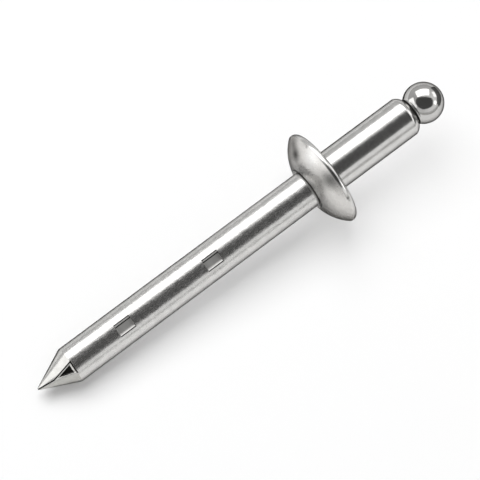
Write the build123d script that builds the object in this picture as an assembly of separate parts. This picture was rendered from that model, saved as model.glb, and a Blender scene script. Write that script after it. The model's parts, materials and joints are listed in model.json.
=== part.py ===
from build123d import *
import os
from math import asin, atan2, cos, degrees, hypot, radians, sin, sqrt

# Blind rivet of 4.8 x 12 mm with a large domed flange, set on its mandrel and lying on a table.
# All lengths are millimetres and all turns are degrees.

# Rivet body
body_diameter = 4.8
body_length = 12.0
tail_length = 0.82
tail_round = 1.45
tail_lip = 0.2
flange_diameter = 11.6
rim_thickness = 0.7
rim_edge_radius = 0.2
dome_height = 1.95
mouth_bevel = 0.375
underside_fillet = 0.2

# Mandrel stem, the part that the setting tool grips
stem_diameter = 4.35
stem_reach = 37.25
point_length = 4.4
nose_radius = 0.16
stem_seat_depth = 0.5
stem_clearance = 0.05
shoulder_bevel = 0.4

# Mandrel shank inside the body, with the neck where it breaks
shank_diameter = 2.9
shank_clearance = 0.03
break_diameter = 2.0
break_width = 1.0
break_setback = 2.6

# Mandrel head, a ball on a short foot
ball_diameter = 4.75
foot_height = 0.1
neck_gap = 0.12
neck_seat = 0.06

# Stamped marks along the stem
mark_count = 2
mark_setback = 7.1
mark_pitch = 12.05
mark_length = 2.1
mark_width = 1.43
mark_depth = 0.32
mark_floor_length = 1.86
mark_floor_width = 0.86
mark_turn = 24.5

# Three-cornered pocket in the point, and the seam from its apex to the nose
pocket_length = 2.75
pocket_rise = 0.885
pocket_fall = 0.625
pocket_depth = 0.45
pocket_floor_share = 0.6
pocket_middle_share = 0.4
pocket_turn = 36.0
seam_width = 0.12
seam_depth = 0.1

# How far every cut runs past the surface that it opens
cut_overrun = 0.3

# Radii, and stations along the rivet's own axis: 0 at the flange's underside, + towards the ball
body_radius = body_diameter / 2
flange_radius = flange_diameter / 2
stem_radius = stem_diameter / 2
shank_radius = shank_diameter / 2
ball_radius = ball_diameter / 2
socket_radius = stem_radius + stem_clearance
mouth_radius = socket_radius + mouth_bevel
bore_radius = shank_radius + shank_clearance
tail_face_radius = bore_radius + tail_lip
neck_radius = bore_radius + neck_seat
foot_radius = tail_face_radius

mouth_x = -(rim_thickness + dome_height)
seat_x = mouth_x + stem_seat_depth
tip_x = mouth_x - stem_reach
cone_x = tip_x + point_length
nose_x = tip_x + nose_radius
break_x = body_length - break_setback
foot_x = body_length + neck_gap + foot_height
ball_x = foot_x + sqrt(ball_radius**2 - foot_radius**2)

# The dome is a cap of a sphere on the axis, through the mouth's edge and the top of the rim
dome_offset = (flange_radius**2 - mouth_radius**2 - dome_height**2) / (2 * dome_height)
dome_x = dome_offset - rim_thickness
dome_radius = hypot(dome_offset, flange_radius)
rim_x = dome_x - sqrt((dome_radius - rim_edge_radius)**2 - (flange_radius - rim_edge_radius)**2)

# Half angle of the point, whose cone is tangent to the rounded nose
point_angle = atan2(stem_radius, cone_x - nose_x) - asin(nose_radius / hypot(stem_radius, cone_x - nose_x))


def arc_about(centre, start, end):
    """The short arc from start to end about a centre."""
    middle = Vector(*centre)
    first = Vector(*start) - middle
    last = Vector(*end) - middle
    halfway = (first + last).normalized() * first.length
    return ThreePointArc(Vector(*start), middle + halfway, Vector(*end))


def turned(*edges):
    """A solid of revolution about the rivet's axis from the edges of its half section, set upright."""
    return revolve(Plane.XZ * make_face(Curve() + list(edges)), Axis.X)


def outward(turn):
    """The direction square to the axis, turned from up towards the front."""
    return Vector(0, -sin(radians(turn)), cos(radians(turn)))


def rivet_body():
    """Tube with a domed flange, a socket for the stem and a rounded tail."""
    rim_inner = flange_radius - rim_edge_radius
    dome_start = Vector(dome_x, 0) + (Vector(rim_x, rim_inner) - Vector(dome_x, 0)).normalized() * dome_radius
    bore = Polyline((seat_x, socket_radius), (seat_x, bore_radius), (body_length, bore_radius),
                    (body_length, tail_face_radius))
    tail = RadiusArc((body_length, tail_face_radius), (body_length - tail_length, body_radius), -tail_round)
    shank = Line((body_length - tail_length, body_radius), (underside_fillet, body_radius))
    root = arc_about((underside_fillet, body_radius + underside_fillet),
                     (underside_fillet, body_radius), (0, body_radius + underside_fillet))
    underside = Line((0, body_radius + underside_fillet), (0, rim_inner))
    back_edge = arc_about((-rim_edge_radius, rim_inner), (0, rim_inner), (-rim_edge_radius, flange_radius))
    rim = Line((-rim_edge_radius, flange_radius), (rim_x, flange_radius))
    front_edge = arc_about((rim_x, rim_inner), (rim_x, flange_radius), (dome_start.X, dome_start.Y))
    dome = arc_about((dome_x, 0), (dome_start.X, dome_start.Y), (mouth_x, mouth_radius))
    mouth = Polyline((mouth_x, mouth_radius), (mouth_x + mouth_bevel, socket_radius), (seat_x, socket_radius))
    return turned(bore, tail, shank, root, underside, back_edge, rim, front_edge, dome, mouth)


def mandrel_blank():
    """Pointed stem, shouldered shank with its break neck, and ball head, before stamping."""
    cone_start = (nose_x - nose_radius * sin(point_angle), nose_radius * cos(point_angle))
    nose = arc_about((nose_x, 0), (tip_x, 0), cone_start)
    stem = Polyline(cone_start, (cone_x, stem_radius), (seat_x - shoulder_bevel, stem_radius),
                    (seat_x, stem_radius - shoulder_bevel), (seat_x, shank_radius))
    shank = Polyline((seat_x, shank_radius), (break_x - break_width / 2, shank_radius),
                     (break_x, break_diameter / 2), (break_x + break_width / 2, shank_radius),
                     (body_length, shank_radius))
    neck = Polyline((body_length, shank_radius), (body_length, neck_radius),
                    (body_length + neck_gap, neck_radius), (body_length + neck_gap, foot_radius),
                    (foot_x, foot_radius))
    ball = arc_about((ball_x, 0), (foot_x, foot_radius), (ball_x + ball_radius, 0))
    axis = Line((ball_x + ball_radius, 0), (tip_x, 0))
    return turned(nose, stem, shank, neck, ball, axis)


def stem_mark(station):
    """Tapered rectangular punch that leaves one stamped mark, its floor flat."""
    edge_drop = stem_radius - sqrt(stem_radius**2 - (mark_width / 2)**2)
    side_flare = (mark_width - mark_floor_width) / (mark_depth - edge_drop)
    end_flare = (mark_length - mark_floor_length) / mark_depth
    rise = mark_depth + cut_overrun
    crest = Plane(Vector(station, 0, 0) + outward(mark_turn) * stem_radius, (1, 0, 0), outward(mark_turn))
    floor = crest.offset(-mark_depth) * Rectangle(mark_floor_length, mark_floor_width)
    top = crest.offset(cut_overrun) * Rectangle(mark_floor_length + rise * end_flare,
                                                mark_floor_width + rise * side_flare)
    return loft([floor, top])


def point_plane():
    """Plane on the point's cone at its base: X runs down the cone to the nose, Z out of the metal."""
    away = outward(pocket_turn)
    down = Vector(-cos(point_angle), 0, 0) - away * sin(point_angle)
    normal = Vector(-sin(point_angle), 0, 0) + away * cos(point_angle)
    return Plane(Vector(cone_x, 0, 0) + away * stem_radius, down, normal)


def point_pocket():
    """Tapered three-cornered punch, its base along the edge of the point."""
    corners = [Vector(pocket_length, 0), Vector(0, -pocket_rise), Vector(0, pocket_fall)]
    middle = Vector(pocket_length * pocket_middle_share, (pocket_fall - pocket_rise) / 2)
    flare = (1 - pocket_floor_share) * cut_overrun / pocket_depth

    def triangle(level, share):
        points = [middle + (corner - middle) * share for corner in corners]
        return point_plane().offset(level) * make_face(Polyline(*points, close=True))

    return loft([triangle(-pocket_depth, pocket_floor_share), triangle(cut_overrun, 1 + flare)])


def point_seam():
    """V-shaped groove from the pocket's apex down the cone to the nose."""
    cone_run = hypot(stem_radius, cone_x - nose_x)
    seam_end = sqrt(cone_run**2 - nose_radius**2)
    flare = seam_width * (1 + cut_overrun / seam_depth)
    base = point_plane()
    start = base.origin + base.x_dir * pocket_length
    across = Plane(start, base.y_dir, base.x_dir)
    groove = Polyline((0, seam_depth), (-flare / 2, -cut_overrun), (flare / 2, -cut_overrun), close=True)
    return extrude(across * make_face(groove), seam_end - pocket_length)


def mandrel():
    """The blank with its marks, pocket and seam stamped in."""
    piece = mandrel_blank() - point_pocket() - point_seam()
    for number in range(mark_count):
        piece -= stem_mark(cone_x + mark_setback + number * mark_pitch)
    return piece


def resting_place():
    """Where the rivet comes to rest: on the rim's front edge and on the base of the point."""
    run = rim_x - cone_x
    rise = flange_radius - rim_edge_radius - stem_radius
    tilt = atan2(rise, run) + asin(rim_edge_radius / hypot(run, rise))
    lift = stem_radius * cos(tilt) - cone_x * sin(tilt)
    low_end = nose_x * cos(tilt) - nose_radius
    high_end = ball_x * cos(tilt) + ball_radius
    return Pos(-(low_end + high_end) / 2, 0, lift) * Rot(0, -degrees(tilt), 0)


os.makedirs("parts", exist_ok=True)
place = resting_place()
for name, piece in {"rivet_body": rivet_body(), "mandrel": mandrel()}.items():
    export_step(place * piece, f"parts/{name}.step")
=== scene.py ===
"""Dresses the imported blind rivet: its mandrel and body, their steels, the floor, the light and the camera."""
import json
from math import asin, atan2, cos, hypot, pi, radians, sin, sqrt, tan

import bmesh
import bpy
import numpy as np
from mathutils import Matrix, Vector


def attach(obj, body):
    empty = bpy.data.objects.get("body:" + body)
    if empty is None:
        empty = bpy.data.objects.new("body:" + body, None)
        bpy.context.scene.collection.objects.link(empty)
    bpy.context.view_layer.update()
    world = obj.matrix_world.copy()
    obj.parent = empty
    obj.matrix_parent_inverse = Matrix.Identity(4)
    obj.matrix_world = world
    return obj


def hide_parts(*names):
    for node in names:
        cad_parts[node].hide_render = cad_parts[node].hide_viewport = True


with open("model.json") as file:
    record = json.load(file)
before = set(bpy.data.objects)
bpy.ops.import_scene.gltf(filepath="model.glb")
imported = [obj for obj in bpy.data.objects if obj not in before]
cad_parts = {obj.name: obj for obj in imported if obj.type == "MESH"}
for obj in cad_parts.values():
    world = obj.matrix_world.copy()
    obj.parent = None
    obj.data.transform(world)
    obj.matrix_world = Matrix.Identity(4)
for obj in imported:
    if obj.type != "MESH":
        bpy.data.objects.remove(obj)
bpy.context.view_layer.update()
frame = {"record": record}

scene = bpy.context.scene
MM = 0.001

# The rivet's own axis: station 0 at the flange's underside, + towards the ball. A turn starts at the top of
# the rivet as it lies and goes towards the front.
mounts = {mount["name"]: mount for mount in frame["record"]["mounts"]}
along = Vector(mounts["shank"]["axis"]).normalized()
back = Vector((0, 1, 0))
above = along.cross(back)
shank_middle = Vector(mounts["shank"]["pos_m"])
underside = shank_middle + along * (Vector(mounts["flange_seat"]["pos_m"]) - shank_middle).dot(along)
PLACE = Matrix.Translation(underside) @ Matrix((along, back, above)).transposed().to_4x4()

# Sizes of the solids, in millimetres
BODY_RADIUS = mounts["shank"]["dims"]["r_mm"]
STEM_RADIUS = mounts["stem"]["dims"]["r_mm"]
BODY_LENGTH = 12.0
TAIL_LENGTH = 0.82
TAIL_ROUND = 1.45
TAIL_FACE_RADIUS = 1.68
BORE_RADIUS = 1.48
SOCKET_RADIUS = 2.225
MOUTH_RADIUS = 2.6
MOUTH_X = -2.65
SEAT_X = -2.15
FLANGE_RADIUS = 5.8
RIM_THICKNESS = 0.7
RIM_EDGE = 0.2
UNDERSIDE_FILLET = 0.2
TIP_X = -39.9
CONE_X = -35.5
NOSE_RADIUS = 0.16
SHOULDER_BEVEL = 0.4
SHANK_RADIUS = 1.45
BREAK_X = 9.4
BREAK_RADIUS = 1.0
BREAK_WIDTH = 1.0
NECK_RADIUS = 1.54
NECK_X = 12.12
FOOT_X = 12.22
BALL_RADIUS = 2.375
MARKS = 2
FIRST_MARK_X = -28.4
MARK_PITCH = 12.05
MARK_LENGTH = 2.1
MARK_WIDTH = 1.43
MARK_DEPTH = 0.32
MARK_FLOOR_LENGTH = 1.86
MARK_FLOOR_WIDTH = 0.86
MARK_TURN = radians(24.5)
POCKET_LENGTH = 2.75
POCKET_RISE = 0.885
POCKET_FALL = 0.625
POCKET_DEPTH = 0.45
POCKET_MIDDLE_SHARE = 0.4
POCKET_TURN = radians(36)
SEAM_WIDTH = 0.12
SEAM_DEPTH = 0.1

# The point's cone is tangent to its rounded nose
NOSE_X = TIP_X + NOSE_RADIUS
POINT_ANGLE = atan2(STEM_RADIUS, CONE_X - NOSE_X) - asin(NOSE_RADIUS / hypot(STEM_RADIUS, CONE_X - NOSE_X))

# Finer forms than the solids have, in millimetres: the fuller dome, rounded edges and the pocket's ledges
DOME_ROUND = 5.6
RIM_BACK_ROUND = 0.52
POINT_EDGE = 0.08
SHOULDER_EDGE = 0.06
BORE_EDGE = 0.03
FOOT_EDGE = 0.02
MARK_EDGE = 0.08
POCKET_EDGE = 0.03
LEDGE_WIDTHS = (0.18, 0.4, 0.1)
LEDGE_SLOPE = 0.36
WALL_RUN = 0.08

# How far past the pocket, the base of the point and the pocket's apex the stamping looks, in millimetres
POCKET_MARGIN = 0.2
BASE_MARGIN = 0.3
SEAM_OVERLAP = 0.1

# Rows of faces along the rivet, in millimetres: the shortest run that is cut up, and how close its rows stand
LONG_RUN = 0.25
FINEST_ROW = 0.015
EDGE_ROW = 0.02
POINT_ROW = 0.045
POINT_ROWS_PAST = 0.2
MARK_ROW = 0.025
MARK_ROWS_REACH = 0.15
MARK_END_SETBACK = 0.05
ROW_GROWTH = 1 / 3

# Where the finish changes along the rivet, in millimetres
DRAWN_FROM = CONE_X + 0.03
ROLLED_FROM = -0.6
TURNED_FROM = 0.1

# Grime and painted shade: how far they reach, in millimetres, and how dull and dark they make the steel
UPPER_LINE = 0.07
BASE_LINE = 0.09
BASE_LINE_SETBACK = 0.06
SEAM_LINE = 0.075
CREASE = 0.06
MARK_GRIME_AND_SHADE = 0.4
POCKET_GRIME_AND_SHADE_FROM = 0.5
POCKET_GRIME_AND_SHADE_RISE = 3
NECK_OVERLAP = 0.1
FOOT_MARGIN = 0.01
NECK_GRIME_AND_SHADE = 0.9
MOUTH_GRIME_AND_SHADE_X = MOUTH_X + 0.1
MOUTH_GRIME_AND_SHADE_FADE = 0.16
MOUTH_GRIME_AND_SHADE_RISE = 1.5
MOUTH_GRIME_AND_SHADE = 0.85


def linear(code):
    """An sRGB hex colour as a linear one."""
    shares = [int(code[place:place + 2], 16) / 255 for place in (1, 3, 5)]
    levels = [share / 12.92 if share <= 0.04045 else ((share + 0.055) / 1.055) ** 2.4 for share in shares]
    return levels + [1.0]


def add(tree, kind, inputs=None, **settings):
    """Adds a node with its settings, and sets or links its inputs by name or number."""
    made = tree.nodes.new(kind)
    for name, value in settings.items():
        setattr(made, name, value)
    for key, value in (inputs or {}).items():
        if isinstance(value, bpy.types.Node):
            value = value.outputs[0]
        if isinstance(value, bpy.types.NodeSocket):
            tree.links.new(value, made.inputs[key])
        else:
            made.inputs[key].default_value = value
    return made


# Steels

# Steel reflects less light at a glancing angle than a mirror does, which draws its outline darker
EDGE_TINT = "#383838"
# What stays in the pressed hollows, which no tumbling reaches, together with painted shade in the hollows,
# creases and gaps
SCALE_AND_SHADE_COLOUR = "#2A2A28"
SCALE_ROUGHNESS = 0.65
# How dull a place is before it has the scale's roughness
MATT_FROM = 0.3


def own_place(tree):
    """The point on the rivet's own axes, in millimetres."""
    back_again = PLACE.inverted()
    return add(tree, "ShaderNodeMapping", {
        "Vector": add(tree, "ShaderNodeTexCoord").outputs["Object"],
        "Location": back_again.translation / MM,
        "Rotation": back_again.to_euler(),
        "Scale": (1 / MM, 1 / MM, 1 / MM),
    })


def steel(name, colour, roughness, speckle, grain, grain_depth, blotch, blotch_depth, patches=()):
    """Bare steel. Speckle is how much the roughness changes from spot to spot, grain the spacing of the
    tool's lines along, across and through the rivet, and blotch the width of the soft unevenness under them,
    in millimetres. Where the steel was pressed in it is dull, and dark with scale and painted shade. A patch,
    painted over the colour, has a place, a reach, a strength and a colour."""
    material = bpy.data.materials.new(name)
    material.use_nodes = True
    tree = material.node_tree
    shader = tree.nodes["Principled BSDF"]
    shader.inputs["Metallic"].default_value = 1.0
    shader.inputs["Specular Tint"].default_value = linear(EDGE_TINT)
    place = own_place(tree)
    stretched = add(tree, "ShaderNodeVectorMath", {0: place, 1: [1 / step for step in grain]},
                    operation="MULTIPLY")
    lines = add(tree, "ShaderNodeTexNoise", {
        "Vector": stretched, "Scale": 1.0, "Detail": 3.0, "Roughness": 0.6})
    cloud = add(tree, "ShaderNodeTexNoise", {
        "Vector": place, "Scale": 1 / blotch, "Detail": 2.0, "Roughness": 0.5})
    shade = add(tree, "ShaderNodeMapRange", {"Value": cloud, 1: 0.3, 2: 0.7, 3: 0.0, 4: 1.0})
    bright = add(tree, "ShaderNodeMix", {0: shade, 6: linear(colour[0]), 7: linear(colour[1])},
                 data_type="RGBA")
    dull_and_shaded = add(tree, "ShaderNodeAttribute", attribute_name="dullness").outputs["Fac"]
    tint = add(tree, "ShaderNodeMix", {0: dull_and_shaded, 6: bright.outputs[2], 7: linear(SCALE_AND_SHADE_COLOUR)},
               data_type="RGBA")
    # Patches of colour painted over the steel: on the dome, a painted sheen, painted dark reflections and two
    # small dark spots
    for spot, reach, strength, patch_colour in patches:
        away = add(tree, "ShaderNodeVectorMath", {0: place, 1: spot}, operation="DISTANCE").outputs["Value"]
        patch_weight = add(tree, "ShaderNodeMapRange", {"Value": away, 1: 0.0, 2: reach, 3: strength, 4: 0.0},
                     interpolation_type="SMOOTHSTEP")
        tint = add(tree, "ShaderNodeMix", {0: patch_weight, 6: tint.outputs[2], 7: linear(patch_colour)}, data_type="RGBA")
    tree.links.new(tint.outputs[2], shader.inputs["Base Color"])
    spots = add(tree, "ShaderNodeMapRange", {"Value": lines, 1: 0.3, 2: 0.7,
                                             3: roughness - speckle, 4: roughness + speckle})
    matt = add(tree, "ShaderNodeMapRange", {"Value": dull_and_shaded, 1: 0.0, 2: MATT_FROM, 3: 0.0, 4: 1.0})
    rough = add(tree, "ShaderNodeMix", {0: matt, 2: spots, 3: SCALE_ROUGHNESS}, data_type="FLOAT")
    tree.links.new(rough.outputs[0], shader.inputs["Roughness"])
    soft = add(tree, "ShaderNodeBump", {"Strength": 1.0, "Distance": blotch_depth * MM, "Height": cloud})
    fine = add(tree, "ShaderNodeBump", {
        "Strength": 1.0, "Distance": grain_depth * MM, "Height": lines, "Normal": soft})
    tree.links.new(fine.outputs[0], shader.inputs["Normal"])
    return material


# Places on the dome, each with its reach, strength and colour: a painted sheen round the mouth and near the
# top, painted dark reflections, and two small dark spots by the rim
PAINTED_SHEEN = "#F4F4F3"
DARKENED = "#444443"
DOME_PATCHES = (
    ((MOUTH_X, 0.0, 0.0), 5.0, 1.0, PAINTED_SHEEN),
    ((-1.12, 0.64, 5.3), 1.7, 0.6, PAINTED_SHEEN),
    ((-1.1, -2.6, 4.7), 1.8, 0.75, DARKENED),
    ((-1.85, 2.7, 3.55), 1.4, 0.85, DARKENED),
    ((-1.2, 3.8, 3.6), 1.3, 0.5, DARKENED),
    ((-0.61, -4.97, 3.15), 0.3, 0.9, DARKENED),
    ((-0.81, 1.92, 5.35), 0.3, 0.5, DARKENED),
)

# Ground stainless steel: the point, satin from the wheel
ground_steel = steel("ground_stainless_steel", ("#D2D1CE", "#DCDBD8"), roughness=0.22, speckle=0.04,
                     grain=(0.2, 0.2, 0.2), grain_depth=0.003, blotch=0.8, blotch_depth=0.006)
# Drawn stainless steel: bright, with faint streaks along the stem and a fine speckle
drawn_steel = steel("drawn_stainless_steel", ("#D1D0CE", "#DCDBD9"), roughness=0.25, speckle=0.06,
                    grain=(0.5, 0.18, 0.18), grain_depth=0.007, blotch=0.9, blotch_depth=0.012)
# Polished stainless steel: a mirror, hardly worn
polished_steel = steel("polished_stainless_steel", ("#C2C1BF", "#CBCAC8"), roughness=0.12, speckle=0.03,
                       grain=(0.3, 0.3, 0.3), grain_depth=0.001, blotch=1.2, blotch_depth=0.004)
# Turned stainless steel: fine lines around the barrel that the lathe left
turned_steel = steel("turned_stainless_steel", ("#CFCECC", "#DAD9D7"), roughness=0.19, speckle=0.06,
                     grain=(0.1, 0.9, 0.9), grain_depth=0.006, blotch=0.8, blotch_depth=0.006)
# Tumbled stainless steel: softly uneven from tumbling after the flange was pressed
tumbled_steel = steel("tumbled_stainless_steel", ("#D1CFCC", "#DCDAD7"), roughness=0.3, speckle=0.05,
                      grain=(0.2, 0.2, 0.2), grain_depth=0.004, blotch=1.6, blotch_depth=0.04,
                      patches=DOME_PATCHES)
# Rolled stainless steel: the rim, bright where the press drew it round
rolled_steel = steel("rolled_stainless_steel", ("#D8D7D5", "#E1E0DE"), roughness=0.2, speckle=0.05,
                     grain=(0.3, 0.15, 0.15), grain_depth=0.003, blotch=1.0, blotch_depth=0.01,
                     patches=DOME_PATCHES)


# Half sections of the turned pieces, as (station, radius)

def arc(centre, start, end, steps):
    """Points of the shorter arc from start to end about a centre."""
    first = atan2(start[1] - centre[1], start[0] - centre[0])
    sweep = atan2(end[1] - centre[1], end[0] - centre[0]) - first
    sweep = (sweep + pi) % (2 * pi) - pi
    radius = hypot(start[0] - centre[0], start[1] - centre[1])
    turns = [first + sweep * step / steps for step in range(steps + 1)]
    return [(centre[0] + radius * cos(turn), centre[1] + radius * sin(turn)) for turn in turns]


def centre_of(start, end, radius):
    """The centre of an arc that turns to the right on its way from start to end."""
    start, end = Vector(start), Vector(end)
    chord = end - start
    inward = Vector((chord.y, -chord.x)).normalized()
    return (start + end) / 2 + inward * sqrt(radius**2 - (chord.length / 2)**2)


def rounded(corners):
    """A half section through corners of (station, radius, edge round), with each edge rounded off."""
    points = []
    for number, (x, r, edge) in enumerate(corners):
        if not edge:
            points.append((x, r))
            continue
        here = Vector((x, r))
        to_last = (Vector(corners[number - 1][:2]) - here).normalized()
        to_next = (Vector(corners[number + 1][:2]) - here).normalized()
        half = to_last.angle(to_next) / 2
        centre = here + (to_last + to_next).normalized() * edge / sin(half)
        reach = edge / tan(half)
        points += arc(centre, here + to_last * reach, here + to_next * reach, steps=5)
    return points


def in_rows(points, spacing):
    """The section with its long runs cut into rows, closer next to an edge and where spacing asks."""
    rows = [Vector(points[0])]
    for start, end in zip(map(Vector, points), map(Vector, points[1:])):
        length = (end - start).length
        stops = [length]
        if length > LONG_RUN:
            stops, at = [], 0.0
            while at < length:
                step = EDGE_ROW + min(at, length - at) / 2
                at += max(FINEST_ROW, min(step, spacing(start.lerp(end, at / length).x)))
                stops.append(at)
        rows += [start.lerp(end, stop / stops[-1]) for stop in stops]
    return rows


def mandrel_section():
    """Pointed stem, shank with its break neck, and ball head."""
    cone_start = (NOSE_X - NOSE_RADIUS * sin(POINT_ANGLE), NOSE_RADIUS * cos(POINT_ANGLE))
    ball_x = FOOT_X + sqrt(BALL_RADIUS**2 - TAIL_FACE_RADIUS**2)
    nose = arc((NOSE_X, 0), (TIP_X, 0), cone_start, steps=8)
    ball = arc((ball_x, 0), (FOOT_X, TAIL_FACE_RADIUS), (ball_x + BALL_RADIUS, 0), steps=48)
    stem = rounded([(*cone_start, 0), (CONE_X, STEM_RADIUS, POINT_EDGE),
                    (SEAT_X - SHOULDER_BEVEL, STEM_RADIUS, SHOULDER_EDGE),
                    (SEAT_X, STEM_RADIUS - SHOULDER_BEVEL, 0), (SEAT_X, SHANK_RADIUS, 0),
                    (BREAK_X - BREAK_WIDTH / 2, SHANK_RADIUS, 0), (BREAK_X, BREAK_RADIUS, 0),
                    (BREAK_X + BREAK_WIDTH / 2, SHANK_RADIUS, 0), (BODY_LENGTH, SHANK_RADIUS, 0),
                    (BODY_LENGTH, NECK_RADIUS, 0), (NECK_X, NECK_RADIUS, 0),
                    (NECK_X, TAIL_FACE_RADIUS, FOOT_EDGE), (FOOT_X, TAIL_FACE_RADIUS, 0)])
    mark_ends = MARK_LENGTH / 2 - MARK_END_SETBACK

    def spacing(x):
        if x < CONE_X + POINT_ROWS_PAST:
            return POINT_ROW
        from_ends = [abs(abs(x - FIRST_MARK_X - number * MARK_PITCH) - mark_ends) for number in range(MARKS)]
        return MARK_ROW + max(0.0, min(from_ends) - MARK_ROWS_REACH) * ROW_GROWTH

    return in_rows(nose[:-1] + stem[:-1] + ball, spacing)


def body_section():
    """Tube with a domed flange, a socket for the stem and a rounded tail, round to where it starts."""
    rim_inner = FLANGE_RADIUS - RIM_EDGE
    tail_start = Vector((BODY_LENGTH - TAIL_LENGTH, BODY_RADIUS))
    tail_end = Vector((BODY_LENGTH, TAIL_FACE_RADIUS))
    tail_centre = centre_of(tail_start, tail_end, TAIL_ROUND)
    dome_centre = centre_of((MOUTH_X, MOUTH_RADIUS), (-RIM_THICKNESS, FLANGE_RADIUS), DOME_ROUND)
    rim_x = dome_centre.x - sqrt((DOME_ROUND - RIM_EDGE)**2 - (rim_inner - dome_centre.y)**2)
    dome_start = dome_centre + (Vector((rim_x, rim_inner)) - dome_centre).normalized() * DOME_ROUND
    root = BODY_RADIUS + UNDERSIDE_FILLET
    bore = rounded([(SEAT_X, SOCKET_RADIUS, 0), (SEAT_X, BORE_RADIUS, 0),
                    (BODY_LENGTH, BORE_RADIUS, BORE_EDGE), (BODY_LENGTH, TAIL_FACE_RADIUS, 0)])
    tail = arc(tail_centre, tail_end, tail_start, steps=10)
    foot = arc((UNDERSIDE_FILLET, root), (UNDERSIDE_FILLET, BODY_RADIUS), (0, root), steps=6)
    back_edge = arc((-RIM_BACK_ROUND, FLANGE_RADIUS - RIM_BACK_ROUND), (0, FLANGE_RADIUS - RIM_BACK_ROUND),
                    (-RIM_BACK_ROUND, FLANGE_RADIUS), steps=12)
    front_edge = arc((rim_x, rim_inner), (rim_x, FLANGE_RADIUS), dome_start, steps=8)
    dome = arc(dome_centre, dome_start, (MOUTH_X, MOUTH_RADIUS), steps=40)
    mouth = [(MOUTH_X + MOUTH_RADIUS - SOCKET_RADIUS, SOCKET_RADIUS), (SEAT_X, SOCKET_RADIUS)]
    return in_rows(bore + tail[1:] + foot + back_edge + front_edge + dome[1:] + mouth, lambda x: 1.0)


# Geometry Nodes

def new_tree(name, inputs):
    """An empty tree that takes a geometry and these named inputs, and gives a geometry."""
    tree = bpy.data.node_groups.new(name, "GeometryNodeTree")
    tree.interface.new_socket("Geometry", in_out="INPUT", socket_type="NodeSocketGeometry")
    for label, kind in inputs.items():
        tree.interface.new_socket(label, in_out="INPUT", socket_type="NodeSocket" + kind)
    tree.interface.new_socket("Geometry", in_out="OUTPUT", socket_type="NodeSocketGeometry")
    return tree, tree.nodes.new("NodeGroupInput").outputs


def turning_tree():
    """Turns a half section about the axis. The columns stand closest at the finest turn."""
    tree, given = new_tree("turned_piece", {
        "Segments": "Int", "Finest turn": "Float", "Bunching": "Float", "Finish": "Material",
        "Middle finish": "Material", "Middle from": "Float", "Far finish": "Material", "Far from": "Float"})
    size = add(tree, "GeometryNodeAttributeDomainSize", {"Geometry": given["Geometry"]})
    rows = size.outputs["Point Count"]
    columns = add(tree, "FunctionNodeIntegerMath", {0: given["Segments"], 1: 1}, operation="ADD")
    grid = add(tree, "GeometryNodeMeshGrid", {"Vertices X": columns, "Vertices Y": rows})
    index = add(tree, "GeometryNodeInputIndex")
    row = add(tree, "FunctionNodeIntegerMath", {0: index, 1: rows}, operation="MODULO")
    column = add(tree, "FunctionNodeIntegerMath", {0: index, 1: rows}, operation="DIVIDE_FLOOR")
    section = add(tree, "GeometryNodeSampleIndex", {"Geometry": given["Geometry"], "Index": row,
                                                    "Value": add(tree, "GeometryNodeInputPosition")},
                  data_type="FLOAT_VECTOR", domain="POINT")
    point = add(tree, "ShaderNodeSeparateXYZ", {0: section})
    share = add(tree, "ShaderNodeMath", {0: column, 1: given["Segments"]}, operation="DIVIDE")
    lap = add(tree, "ShaderNodeMath", {0: share, 1: 2 * pi}, operation="MULTIPLY")
    shift = add(tree, "ShaderNodeMath", {0: add(tree, "ShaderNodeMath", {0: lap}, operation="SINE"),
                                         1: given["Bunching"]}, operation="MULTIPLY")
    spread = add(tree, "ShaderNodeMath", {0: lap, 1: shift}, operation="SUBTRACT")
    turn = add(tree, "ShaderNodeMath", {0: spread, 1: given["Finest turn"]}, operation="ADD")
    upright = add(tree, "ShaderNodeCombineXYZ", {"X": point.outputs["X"], "Z": point.outputs["Z"]})
    swung = add(tree, "ShaderNodeVectorRotate", {"Vector": upright, "Angle": turn}, rotation_type="X_AXIS")
    moved = add(tree, "GeometryNodeSetPosition", {"Geometry": grid, "Position": swung})
    closed = add(tree, "GeometryNodeMergeByDistance", {"Geometry": moved, "Distance": 1e-7})
    smooth = add(tree, "GeometryNodeSetShadeSmooth", {"Geometry": closed})
    real = add(tree, "GeometryNodeRealizeInstances", {"Geometry": smooth})
    coated = add(tree, "GeometryNodeSetMaterial", {"Geometry": real, "Material": given["Finish"]})
    station = add(tree, "ShaderNodeSeparateXYZ", {0: add(tree, "GeometryNodeInputPosition")}).outputs["X"]
    for zone in ("Middle", "Far"):
        beyond = add(tree, "ShaderNodeMath", {0: station, 1: given[zone + " from"]}, operation="GREATER_THAN")
        coated = add(tree, "GeometryNodeSetMaterial", {"Geometry": coated, "Selection": beyond,
                                                       "Material": given[zone + " finish"]})
    add(tree, "NodeGroupOutput", {0: coated})
    return tree


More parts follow.
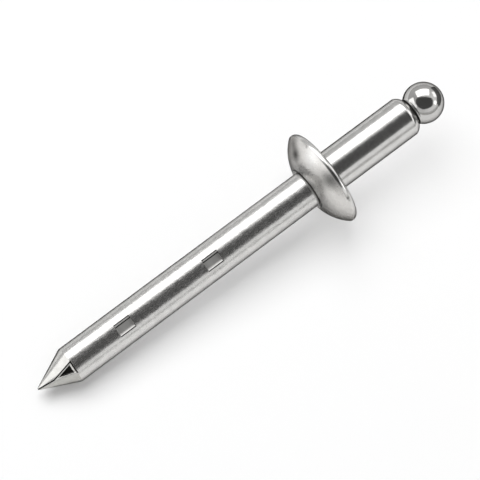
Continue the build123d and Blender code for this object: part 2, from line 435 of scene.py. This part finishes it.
def stamping_tree():
    """Presses a row of equal marks into the stem, each with a flat floor, sloping sides and steep ends."""
    tree, given = new_tree("stamped_marks", {
        "Marks": "Int", "First mark": "Float", "Pitch": "Float", "Turn": "Float", "Floor height": "Float",
        "Half floor length": "Float", "Half floor width": "Float", "End slope": "Float",
        "Side slope": "Float", "Edge round": "Float", "Dulling": "Float", "Crease": "Float"})
    back_turn = add(tree, "ShaderNodeMath", {0: given["Turn"], 1: -1.0}, operation="MULTIPLY")
    place = add(tree, "GeometryNodeInputPosition")
    upright = add(tree, "ShaderNodeVectorRotate", {"Vector": place, "Angle": back_turn},
                  rotation_type="X_AXIS")
    point = add(tree, "ShaderNodeSeparateXYZ", {0: upright})
    from_first = add(tree, "ShaderNodeMath", {0: point.outputs["X"], 1: given["First mark"]},
                     operation="SUBTRACT")
    steps = add(tree, "ShaderNodeMath", {0: from_first, 1: given["Pitch"]}, operation="DIVIDE")
    nearest = add(tree, "ShaderNodeMath", {0: steps}, operation="ROUND")
    last = add(tree, "ShaderNodeMath", {0: given["Marks"], 1: -1.0}, operation="ADD")
    number = add(tree, "ShaderNodeClamp", {"Value": nearest, "Min": 0.0, "Max": last})
    station = add(tree, "ShaderNodeMath", {0: number, 1: given["Pitch"]}, operation="MULTIPLY")
    lengthwise = add(tree, "ShaderNodeMath", {0: from_first, 1: station}, operation="SUBTRACT")
    heights = []
    for offset, half, slope in ((lengthwise, "Half floor length", "End slope"),
                                (point.outputs["Y"], "Half floor width", "Side slope")):
        away = add(tree, "ShaderNodeMath", {0: offset}, operation="ABSOLUTE")
        past = add(tree, "ShaderNodeMath", {0: away, 1: given[half]}, operation="SUBTRACT")
        heights.append(add(tree, "ShaderNodeMath", {0: past, 1: given[slope], 2: given["Floor height"]},
                           operation="MULTIPLY_ADD"))
    walls = add(tree, "ShaderNodeMath", {0: heights[0], 1: heights[1], 2: given["Edge round"]},
                operation="SMOOTH_MAX")
    die = add(tree, "ShaderNodeMath", {0: walls, 1: given["Floor height"], 2: given["Edge round"]},
              operation="SMOOTH_MAX")
    height = add(tree, "ShaderNodeMath", {0: point.outputs["Z"], 1: die, 2: given["Edge round"]},
                 operation="SMOOTH_MIN")
    lowered = add(tree, "ShaderNodeCombineXYZ", {
        "X": point.outputs["X"], "Y": point.outputs["Y"], "Z": height})
    swung = add(tree, "ShaderNodeVectorRotate", {"Vector": lowered, "Angle": given["Turn"]},
                rotation_type="X_AXIS")
    drop = add(tree, "ShaderNodeMath", {0: point.outputs["Z"], 1: height}, operation="SUBTRACT")
    # The marks are made dull and dark by their depth: scale in the hollows with painted shade. Painted shadow
    # lines run along their creases.
    outer = add(tree, "ShaderNodeMath", {0: point.outputs["Z"], 1: die, 2: given["Crease"]},
                operation="COMPARE")
    inner = add(tree, "ShaderNodeMath", {
        0: point.outputs["Y"], 1: given["Half floor width"], 2: given["Crease"]}, operation="COMPARE")
    pressed = add(tree, "ShaderNodeMath", {0: drop, 1: given["Crease"]}, operation="GREATER_THAN")
    creased = add(tree, "ShaderNodeMath", {0: inner, 1: pressed, 2: outer}, operation="MULTIPLY_ADD")
    grime_and_shade = add(tree, "ShaderNodeMath", {0: drop, 1: given["Dulling"], 2: creased}, operation="MULTIPLY_ADD")
    dullness = add(tree, "ShaderNodeMath", {0: grime_and_shade, 1: 1.0}, operation="MINIMUM")
    marked = add(tree, "GeometryNodeStoreNamedAttribute", {
        "Geometry": given["Geometry"], "Name": "dullness", "Value": dullness},
        data_type="FLOAT", domain="POINT")
    moved = add(tree, "GeometryNodeSetPosition", {"Geometry": marked, "Position": swung})
    real = add(tree, "GeometryNodeRealizeInstances", {"Geometry": moved})
    add(tree, "NodeGroupOutput", {0: real})
    return tree


def run_tree(piece, tree, values):
    """Puts a tree on a piece with its inputs set."""
    modifier = piece.modifiers.new(tree.name, "NODES")
    modifier.node_group = tree
    for item in tree.interface.items_tree:
        if item.in_out == "INPUT" and item.name in values:
            modifier[item.identifier] = values[item.name]


def turned(name, section, **values):
    """A piece that holds a half section, ready to be turned."""
    mesh = bpy.data.meshes.new(name)
    mesh.from_pydata([(row.x * MM, 0, row.y * MM) for row in section],
                     [(number, number + 1) for number in range(len(section) - 1)], [])
    piece = bpy.data.objects.new(name, mesh)
    scene.collection.objects.link(piece)
    run_tree(piece, turning, values)
    return piece


def made_plain(piece):
    """Replaces the piece's modifiers by the mesh that they give, on the rivet's own axes."""
    shape = piece.evaluated_get(bpy.context.evaluated_depsgraph_get())
    mesh = bpy.data.meshes.new_from_object(shape)
    piece.modifiers.clear()
    piece.data = mesh
    return mesh


def soft_min(a, b, width):
    """The lower of two heights, with the edge where they cross rounded off."""
    share = np.maximum(width - np.abs(a - b), 0) / width
    return np.minimum(a, b) - share**3 * width / 6


def stamp_point(mesh):
    """Presses the three-cornered pocket into the point, with the seam from its apex to the nose, and dulls
    the hollows of the whole mandrel and darkens them, and the stem by the mouth, with scale, grime and painted
    shade."""
    points = np.empty(len(mesh.vertices) * 3)
    mesh.vertices.foreach_get("co", points)
    points = points.reshape(-1, 3) / MM
    away = np.array([0, -sin(POCKET_TURN), cos(POCKET_TURN)])
    axis = np.array([1.0, 0, 0])
    down = -cos(POINT_ANGLE) * axis - sin(POINT_ANGLE) * away
    out = -sin(POINT_ANGLE) * axis + cos(POINT_ANGLE) * away
    side = np.cross(out, down)
    rel = points - (CONE_X * axis + STEM_RADIUS * away)
    x, y, z = rel @ down, rel @ side, rel @ out
    corners = np.array([(POCKET_LENGTH, 0), (0, -POCKET_RISE), (0, POCKET_FALL)])
    middle = np.array([POCKET_LENGTH * POCKET_MIDDLE_SHARE, (POCKET_FALL - POCKET_RISE) / 2])
    pocket = np.full(len(points), POCKET_DEPTH)
    insides = []
    for first, second, ledge in zip(corners, np.roll(corners, -1, axis=0), LEDGE_WIDTHS):
        run = (second - first) / np.linalg.norm(second - first)
        square = np.array([-run[1], run[0]])
        reach = (middle - first) @ square
        inside = ((x - first[0]) * square[0] + (y - first[1]) * square[1]) * np.sign(reach)
        insides.append(inside)
        steep = (POCKET_DEPTH - LEDGE_SLOPE * ledge) / WALL_RUN
        wall = np.where(inside < ledge, LEDGE_SLOPE * inside, LEDGE_SLOPE * ledge + (inside - ledge) * steep)
        pocket = soft_min(pocket, np.maximum(wall, 0), POCKET_EDGE)
    near = (z > -POCKET_DEPTH - POCKET_MARGIN) & (x > -BASE_MARGIN)
    pocket = np.where(near, np.maximum(pocket, 0), 0)
    on_seam = near & (x > POCKET_LENGTH - SEAM_OVERLAP)
    seam = np.where(on_seam, SEAM_DEPTH * np.maximum(1 - 2 * np.abs(y) / SEAM_WIDTH, 0), 0)
    upper, base, lower = insides
    # Thin lines along the pocket's upper and base edges, darkened below as painted shadow lines
    along_upper = (np.abs(upper) < UPPER_LINE) & (base > 0)
    along_base = (np.abs(base - BASE_LINE_SETBACK) < BASE_LINE) & (upper > 0)
    on_edge = near & (along_upper | along_base) & (lower > 0)
    # The seam's groove, darkened below as a painted shade line
    in_seam = on_seam & (np.abs(y) < SEAM_LINE)
    station = points[:, 0]
    # The neck's groove before the ball, darkened below: grime with painted shade
    in_neck = (station > BODY_LENGTH - NECK_OVERLAP) & (station < FOOT_X - FOOT_MARGIN)
    # The stem where it enters the flange's mouth, darkened below: grime with painted shade between the parts
    from_mouth = np.abs(station - MOUTH_GRIME_AND_SHADE_X) / MOUTH_GRIME_AND_SHADE_FADE
    dullness = np.empty(len(points))
    mesh.attributes["dullness"].data.foreach_get("value", dullness)
    # Dark and dull: the deep pocket's floor with scale and painted shade, the edge lines and the seam with
    # painted shade, and the neck and the stem by the mouth with grime and painted shade
    dullness += np.clip((pocket / POCKET_DEPTH - POCKET_GRIME_AND_SHADE_FROM) * POCKET_GRIME_AND_SHADE_RISE, 0, 1)
    dullness += np.where(in_seam, 1.0, 0.0) + np.where(on_edge, 1.0, 0.0) + np.where(in_neck, NECK_GRIME_AND_SHADE, 0.0)
    dullness += np.clip(MOUTH_GRIME_AND_SHADE_RISE - from_mouth, 0, MOUTH_GRIME_AND_SHADE)
    mesh.attributes["dullness"].data.foreach_set("value", np.minimum(dullness, 1))
    points -= np.maximum(pocket, seam)[:, None] * out
    mesh.vertices.foreach_set("co", (points * MM).ravel())


def finish(piece, node):
    """Lays the piece where its solid lies and turns its faces outwards."""
    piece.data.transform(PLACE)
    loose = bmesh.new()
    loose.from_mesh(piece.data)
    bmesh.ops.recalc_face_normals(loose, faces=loose.faces)
    loose.to_mesh(piece.data)
    loose.free()
    piece.data.update()
    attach(piece, "root")
    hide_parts(node)


turning = turning_tree()
stamping = stamping_tree()

stem = turned("mandrel_dressed", mandrel_section(), **{
    "Segments": 240, "Finest turn": MARK_TURN, "Bunching": 0.65,
    "Finish": ground_steel, "Middle finish": drawn_steel, "Middle from": DRAWN_FROM * MM,
    "Far finish": polished_steel, "Far from": BODY_LENGTH * MM})
edge_drop = STEM_RADIUS - sqrt(STEM_RADIUS**2 - (MARK_WIDTH / 2)**2)
run_tree(stem, stamping, {
    "Marks": MARKS, "First mark": FIRST_MARK_X * MM, "Pitch": MARK_PITCH * MM, "Turn": MARK_TURN,
    "Floor height": (STEM_RADIUS - MARK_DEPTH) * MM,
    "Half floor length": MARK_FLOOR_LENGTH / 2 * MM, "Half floor width": MARK_FLOOR_WIDTH / 2 * MM,
    "End slope": 2 * MARK_DEPTH / (MARK_LENGTH - MARK_FLOOR_LENGTH),
    "Side slope": 2 * (MARK_DEPTH - edge_drop) / (MARK_WIDTH - MARK_FLOOR_WIDTH),
    "Edge round": MARK_EDGE * MM, "Dulling": MARK_GRIME_AND_SHADE / (MARK_DEPTH * MM), "Crease": CREASE * MM})
stamp_point(made_plain(stem))
finish(stem, "mandrel")

barrel = turned("rivet_body_dressed", body_section(), **{
    "Segments": 224, "Finest turn": 0.0, "Bunching": 0.0,
    "Finish": tumbled_steel, "Middle finish": rolled_steel, "Middle from": ROLLED_FROM * MM,
    "Far finish": turned_steel, "Far from": TURNED_FROM * MM})
made_plain(barrel)
finish(barrel, "rivet_body")


# Camera, at the photograph's angle. It looks at a place on the rivet's axis, moved a little left and down.
# Lengths are in millimetres.

AZIMUTH = radians(-37.475)
ELEVATION = radians(63.312)
CAMERA_DISTANCE = 308.95
VIEW_X = -12
VIEW_LEFT = 0.075
VIEW_DOWN = 0.16
right = Vector((cos(AZIMUTH), sin(AZIMUTH), 0))
towards = Vector((sin(AZIMUTH) * cos(ELEVATION), -cos(AZIMUTH) * cos(ELEVATION), sin(ELEVATION)))
upwards = towards.cross(right)


def facing(x_axis, y_axis, z_axis, place):
    """The place of a thing that looks along minus its own Z."""
    return Matrix.Translation(place) @ Matrix((x_axis, y_axis, z_axis)).transposed().to_4x4()


lens = bpy.data.cameras.new("camera")
lens.lens = 210
lens.sensor_width = 36
lens.clip_start = 0.01
camera = bpy.data.objects.new("camera", lens)
target = PLACE @ Vector((VIEW_X * MM, 0, 0)) - right * VIEW_LEFT * MM - upwards * VIEW_DOWN * MM
camera.matrix_world = facing(right, upwards, towards, target + towards * CAMERA_DISTANCE * MM)
scene.collection.objects.link(camera)
scene.camera = camera


# Floor and light

def sheet_of(name, corners, material):
    """A flat sheet through corners, as a part of the studio."""
    mesh = bpy.data.meshes.new(name)
    mesh.from_pydata(corners, [], [list(range(len(corners)))])
    mesh.materials.append(material)
    thing = bpy.data.objects.new(name, mesh)
    scene.collection.objects.link(thing)
    return thing


def seen(tree):
    """1 for what the camera sees, also in the steel, and 0 for what only gets light."""
    path = add(tree, "ShaderNodeLightPath").outputs
    return add(tree, "ShaderNodeMath", {0: path["Is Camera Ray"], 1: path["Is Glossy Ray"]},
               operation="MAXIMUM")


# The floor's reach, and how far it lies below zero and the cards on it above zero, in millimetres
FLOOR_REACH = 2000
FLOOR_GAP = 0.01
# How much of the paper's white is a glow of its own: for the steel, and for the camera along the rivet
GLOW_IN_STEEL = 0.05
GLOW_BY_POINT = 0.04
GLOW_BY_STEM = 0.32
GLOW_BY_BALL = 0.66
# Where along X that glow starts and stops rising, in millimetres: from point to stem, and from stem to ball
POINT_TO_STEM = (-28, -8)
STEM_TO_BALL = (6, 20)

# Matt white paper: the camera sees it part glowing, more so towards the ball, where the shadow is palest
paper = bpy.data.materials.new("white_paper")
paper.use_nodes = True
ground = paper.node_tree
matt = ground.nodes["Principled BSDF"]
matt.inputs["Base Color"].default_value = linear("#FBFBFB")
matt.inputs["Roughness"].default_value = 0.9
matt.inputs["Specular IOR Level"].default_value = 0.0
path = add(ground, "ShaderNodeLightPath").outputs
in_steel = add(ground, "ShaderNodeMath", {0: path["Is Glossy Ray"], 1: GLOW_IN_STEEL}, operation="MULTIPLY")
spot = add(ground, "ShaderNodeSeparateXYZ", {0: add(ground, "ShaderNodeTexCoord").outputs["Object"]})
by_point = add(ground, "ShaderNodeMapRange", {
    "Value": spot.outputs["X"], 1: POINT_TO_STEM[0] * MM, 2: POINT_TO_STEM[1] * MM,
    3: GLOW_BY_POINT, 4: GLOW_BY_STEM})
by_ball = add(ground, "ShaderNodeMapRange", {
    "Value": spot.outputs["X"], 1: STEM_TO_BALL[0] * MM, 2: STEM_TO_BALL[1] * MM,
    3: 0.0, 4: GLOW_BY_BALL - GLOW_BY_STEM})
paleness = add(ground, "ShaderNodeMath", {0: by_point, 1: by_ball}, operation="ADD")
glow_share = add(ground, "ShaderNodeMath", {0: path["Is Camera Ray"], 1: paleness, 2: in_steel},
                 operation="MULTIPLY_ADD")
white = add(ground, "ShaderNodeEmission", {"Color": linear("#FFFFFF"), "Strength": 1.0})
blend = add(ground, "ShaderNodeMixShader", {0: glow_share, 1: matt, 2: white})
ground.links.new(blend.outputs[0], ground.nodes["Material Output"].inputs["Surface"])
sheet_of("floor", [(x * FLOOR_REACH * MM, y * FLOOR_REACH * MM, -FLOOR_GAP * MM)
                   for x, y in ((-1, -1), (1, -1), (1, 1), (-1, 1))], paper)


def card(name, corners, code, strength=1.0):
    """A glowing card that only the steel sees."""
    material = bpy.data.materials.new(name)
    material.use_nodes = True
    tree = material.node_tree
    tree.nodes.clear()
    glow = add(tree, "ShaderNodeEmission", {"Color": linear(code), "Strength": strength})
    add(tree, "ShaderNodeOutputMaterial", {"Surface": glow})
    thing = sheet_of(name, corners, material)
    thing.visible_camera = False
    thing.visible_diffuse = False
    thing.visible_shadow = False
    thing.visible_transmission = False


def on_floor(*places):
    """Corners just above the floor, from places in millimetres."""
    return [(x * MM, y * MM, FLOOR_GAP * MM) for x, y in places]


# The dark room around the camera, as shares of its distance to the right and down
ROOM_DISTANCE = 500
room = ((-1.0, -0.3), (-0.75, -0.62), (0.95, -0.62), (1.25, -0.4), (1.25, 0.3), (0.98, 0.56), (0.45, 0.72),
        (-0.1, 0.78), (-0.6, 0.55), (-0.9, 0.2))
card("dark_room", [tuple(target + (towards + right * a - upwards * b) * ROOM_DISTANCE * MM) for a, b in room],
     "#505050")
# A white card round the point, which lights its upper side
POINT_CARD_X = -38
POINT_CARD_DISTANCE = 60
point_middle = PLACE @ Vector((POINT_CARD_X * MM, 0, 0))
ways = ((-0.35, 0.85, 0.4), (-0.3, 0.7, 0.65), (-0.45, -0.1, 1.0), (-0.7, -0.35, 0.75), (-1.0, -0.3, 0.4),
        (-0.8, 0.65, 0.3))
card("point_card", [tuple(point_middle + Vector(way) * POINT_CARD_DISTANCE * MM) for way in ways],
     "#FFFFFF", 1.35)
# Dark card on the floor behind the rivet, seen only in the steel: a painted shadow of the rivet on the floor,
# which draws its upper outline, with a notch that keeps the dome pale
card("edge_card", on_floor((-31, 1), (29, 2), (29, 16), (11, 13.4), (11, 3), (8.5, 3), (-2, 11.6),
                           (-31, 7.5)), "#808080")
# Dark paper standing beyond the ball, which draws its far side
BALL_CARD_X = 52
card("ball_card", [(BALL_CARD_X * MM, y * MM, z * MM) for y, z in ((-30, 0), (12, 0), (12, 18), (-30, 18))],
     "#606060")
# Grey paper on the floor in front of the point, which shades its lower side
card("point_shade", on_floor((-24.5, -2.5), (-34, -2.5), (-60, -40), (-24.5, -40)), "#D8D8D6")
# A grey card on the floor in front of the white paper, which only the steel sees
card("front_table", on_floor((-400, -400), (400, -400), (400, -40), (-400, -40)), "#C2C2C0")

# Pale walls that the steel sees: bright in front, greyer at the back and on the left, with a dark line along
# the front horizon. They light the floor less than the lamps do.
FRONT_WALL = 0.92
BACK_WALL = 0.6
LEFT_SHARE = 0.78
LINE_DARKNESS = 0.65
LIGHT_SHARE = 0.5
world = bpy.data.worlds.new("pale_studio")
scene.world = world
world.use_nodes = True
world.cycles.sampling_method = "NONE"
sky = world.node_tree
look = add(sky, "ShaderNodeSeparateXYZ", {0: add(sky, "ShaderNodeTexCoord").outputs["Generated"]}).outputs
walls = add(sky, "ShaderNodeMapRange", {"Value": look["Y"], 1: -0.4, 2: 0.4, 3: FRONT_WALL, 4: BACK_WALL})
left = add(sky, "ShaderNodeMapRange", {"Value": look["X"], 1: -0.6, 2: -0.1, 3: LEFT_SHARE, 4: 1.0})
low = add(sky, "ShaderNodeMapRange", {"Value": look["Z"], 1: 0.02, 2: 0.08, 3: LINE_DARKNESS, 4: 0.0})
front = add(sky, "ShaderNodeMapRange", {"Value": look["Y"], 1: -0.6, 2: -0.2, 3: 1.0, 4: 0.0})
line = add(sky, "ShaderNodeMath", {0: low, 1: front}, operation="MULTIPLY")
kept = add(sky, "ShaderNodeMath", {0: 1.0, 1: line}, operation="SUBTRACT")
level = add(sky, "ShaderNodeMapRange", {"Value": seen(sky), 1: 0.0, 2: 1.0, 3: LIGHT_SHARE, 4: 1.0})
plain = add(sky, "ShaderNodeMath", {0: walls, 1: left}, operation="MULTIPLY")
shown = add(sky, "ShaderNodeMath", {0: plain, 1: kept}, operation="MULTIPLY")
strength = add(sky, "ShaderNodeMath", {0: shown, 1: level}, operation="MULTIPLY")
sky.links.new(strength.outputs[0], sky.nodes["Background"].inputs["Strength"])
sky.nodes["Background"].inputs["Color"].default_value = linear("#FFFFFF")


def softbox(name, direction, distance, width, height, radiance):
    """A soft light that faces the rivet from a direction, its width level. Lengths are in metres."""
    light = bpy.data.lights.new(name, "AREA")
    light.shape = "RECTANGLE"
    light.size = width
    light.size_y = height
    light.energy = radiance * pi * width * height
    lamp = bpy.data.objects.new(name, light)
    z_axis = Vector(direction).normalized()
    x_axis = Vector((0, 0, 1)).cross(z_axis).normalized()
    lamp.matrix_world = facing(x_axis, z_axis.cross(x_axis), z_axis, target + z_axis * distance)
    scene.collection.objects.link(lamp)
    return lamp


# The key light and three smaller ones give the steel its bands, and the top light gives the floor its shadow
for lamp in (softbox("key_light", (0.264, 0.477, 0.855), distance=1.0, width=1.2, height=0.74, radiance=1.8),
             softbox("side_light", (0.631, -0.683, 0.367), distance=0.8, width=0.22, height=0.22, radiance=1.6),
             softbox("left_light", (-0.8, 0.5, 0.33), distance=1.0, width=0.6, height=0.6, radiance=1.3),
             softbox("right_light", (0.9, -0.12, 0.41), distance=1.0, width=0.4, height=0.4, radiance=1.0)):
    lamp.visible_diffuse = False
top_light = softbox("top_light", (0.0, 0.38, 0.92), distance=1.0, width=0.9, height=0.9, radiance=3.66)
top_light.visible_glossy = False

scene.view_settings.view_transform = "Standard"
